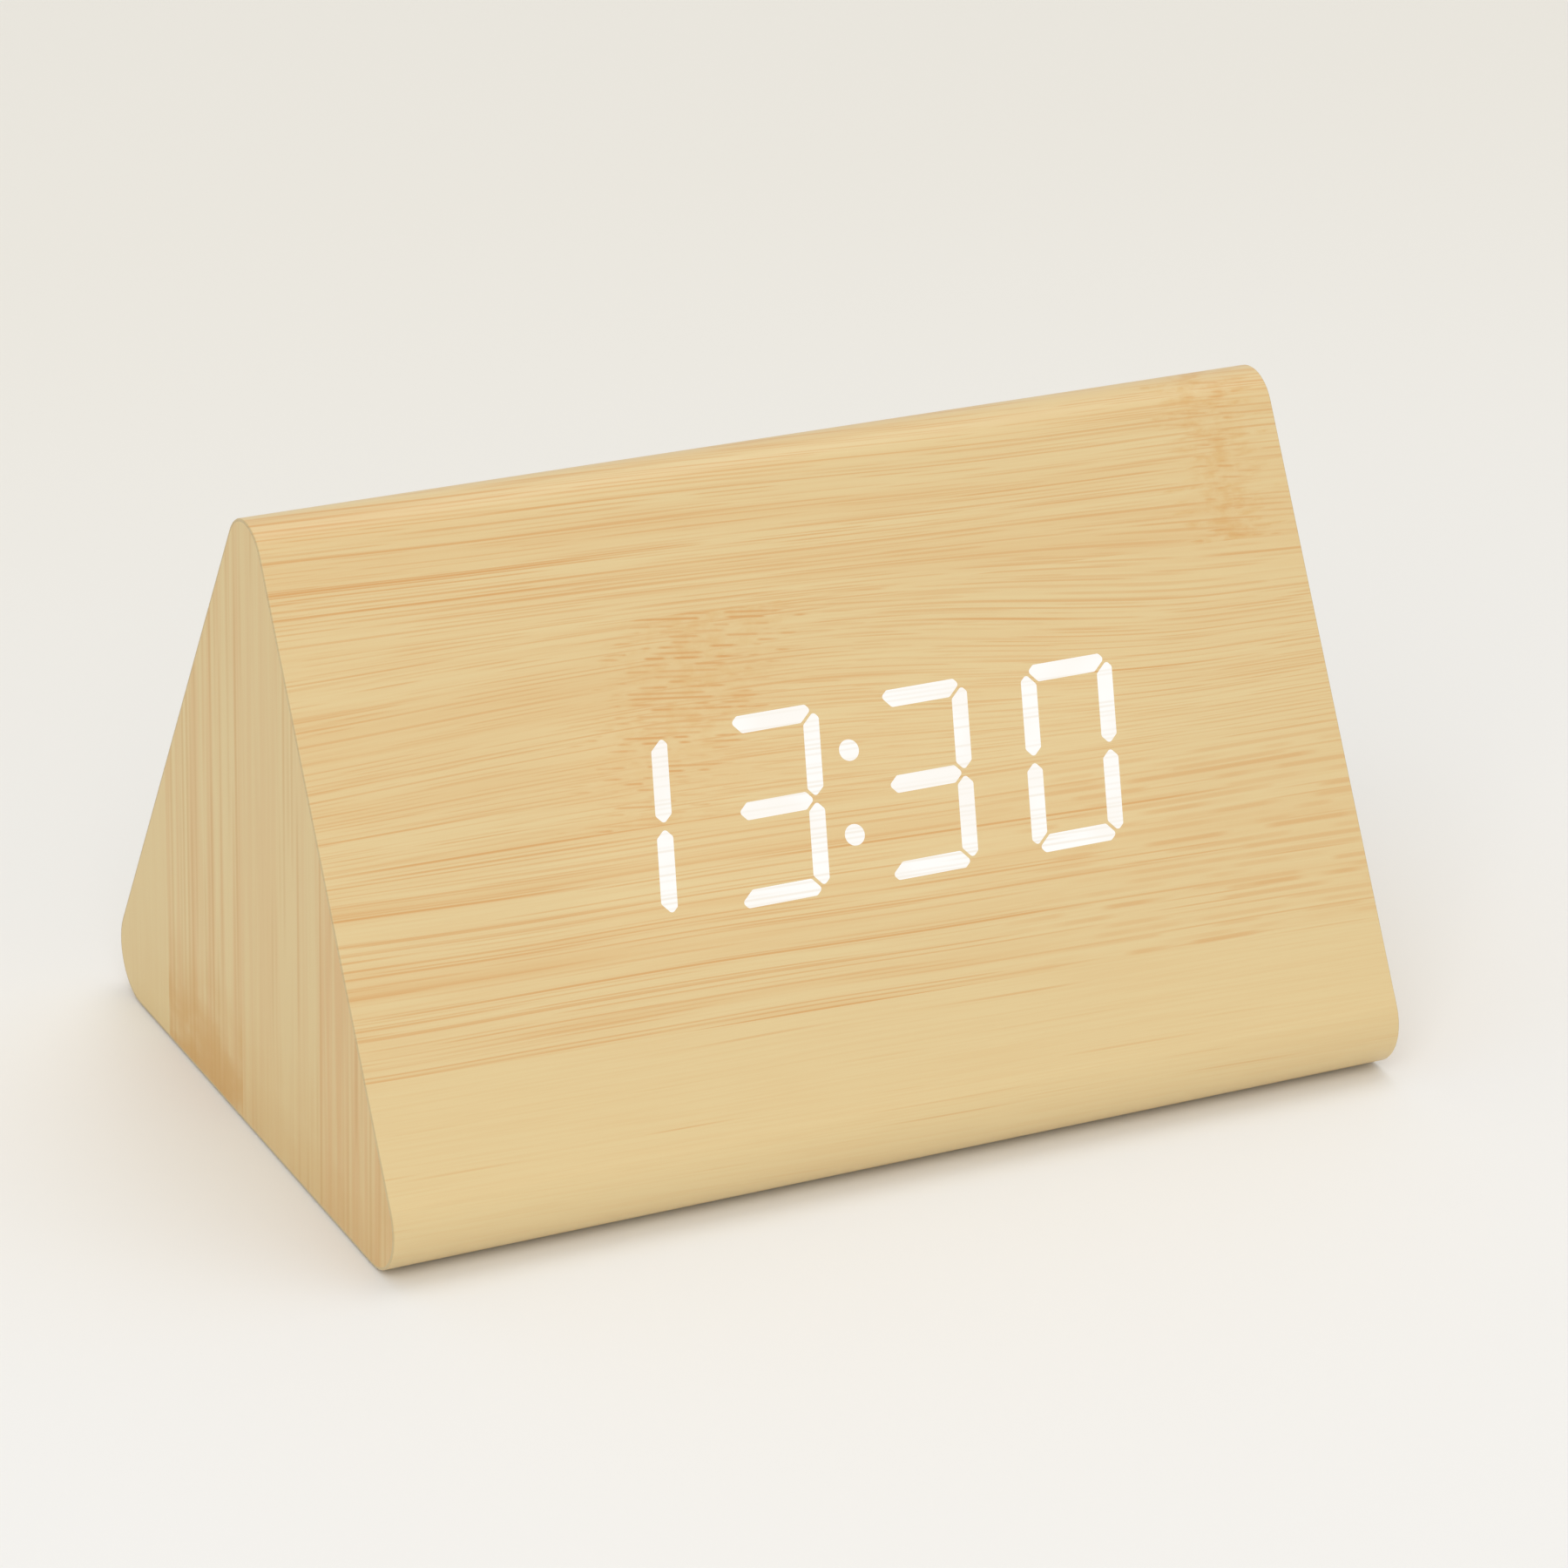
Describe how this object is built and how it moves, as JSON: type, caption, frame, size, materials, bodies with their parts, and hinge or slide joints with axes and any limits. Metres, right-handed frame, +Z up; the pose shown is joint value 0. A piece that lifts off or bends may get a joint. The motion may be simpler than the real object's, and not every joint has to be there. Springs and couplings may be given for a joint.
{
  "type": "desk clock",
  "caption": "Triangular prism desk clock wrapped in wood-look film, with slanted lit digits on its sloping front and a rear panel with buttons, power inlet and hinged battery door.",
  "frame": {"origin": "under the middle of the clock, on the surface that its foot pads stand on", "axes": "+X along the clock to the reader's right, -Y towards the reader, +Z up"},
  "size_m": [0.15, 0.0972, 0.0878],
  "materials": {
    "wood_film": "satin printed wood-look film",
    "end_film": "satin printed wood-look film",
    "fibreboard": "raw fibreboard",
    "pad_rubber": "matt",
    "lit_white": "glowing film",
    "frame_white": "moulded white",
    "guide_milky": "milky",
    "lamp_chip": "lamp chip",
    "circuit_green": "solder mask",
    "chip_black": "moulded package",
    "socket_white": "moulded cream",
    "ribbon_grey": "flat cable",
    "screw_steel": "zinc plated",
    "panel_black": "fine moulded texture",
    "button_black": "smooth satin",
    "contact_nickel": "nickel plated",
    "pin_brass": "plated",
    "can_aluminium": "drawn can",
    "cell_sleeve": "plain sleeve",
    "lead_red": "insulation",
    "lead_black": "insulation"
  },
  "bodies": {
    "case": {"wrap_film": "wood_film", "left_end_film": "end_film", "right_end_film": "end_film", "front_board": "fibreboard", "rear_board": "fibreboard", "base_board": "fibreboard", "left_end_board": "fibreboard", "right_end_board": "fibreboard", "foot_pads": "pad_rubber", "lit_digits": "lit_white", "digit_frame": "frame_white", "light_guides": "guide_milky", "lamps": "lamp_chip", "display_board": "circuit_green", "display_screws": "screw_steel", "driver_chip": "chip_black", "display_socket": "socket_white", "ribbon_cable": "ribbon_grey", "main_socket": "socket_white", "main_board": "circuit_green", "main_board_screws": "screw_steel", "controller_chip": "chip_black", "clock_crystal": "can_aluminium", "supply_capacitor": "can_aluminium", "backup_cell_holder": "chip_black", "backup_cell": "contact_nickel", "buzzer": "chip_black", "microphone": "can_aluminium", "temperature_sensor": "chip_black", "power_jack": "chip_black", "power_jack_pin": "pin_brass", "rear_panel": "panel_black", "panel_screws": "screw_steel", "battery_tray": "panel_black", "left_contacts": "contact_nickel", "right_contacts": "contact_nickel", "black_lead": "lead_black", "red_lead": "lead_red", "battery_cell_1": "cell_sleeve", "battery_cell_2": "cell_sleeve", "battery_cell_3": "cell_sleeve", "battery_cell_4": "cell_sleeve", "set_switch": "chip_black", "up_switch": "chip_black", "down_switch": "chip_black"},
    "battery_door": {"battery_door": "panel_black"},
    "set_button": {"set_button": "button_black", "set_switch_plunger": "button_black"},
    "up_button": {"up_button": "button_black", "up_switch_plunger": "button_black"},
    "down_button": {"down_button": "button_black", "down_switch_plunger": "button_black"}
  },
  "joints": [
    {"name": "battery_door_hinge", "type": "hinge", "parent": "case", "child": "battery_door", "pos_m": [0.025, 0.03826, 0.02564], "axis": [-1, 0, 0], "range_deg": [0, 95]},
    {"name": "set_button_press", "type": "slide", "parent": "case", "child": "set_button", "axis": [0, -0.8674, -0.4976], "range_m": [0, 0.0006], "stiffness_N_per_m": 800, "springref_m": -0.0004},
    {"name": "up_button_press", "type": "slide", "parent": "case", "child": "up_button", "axis": [0, -0.8674, -0.4976], "range_m": [0, 0.0006], "stiffness_N_per_m": 800, "springref_m": -0.0004},
    {"name": "down_button_press", "type": "slide", "parent": "case", "child": "down_button", "axis": [0, -0.8674, -0.4976], "range_m": [0, 0.0006], "stiffness_N_per_m": 800, "springref_m": -0.0004}
  ]
}
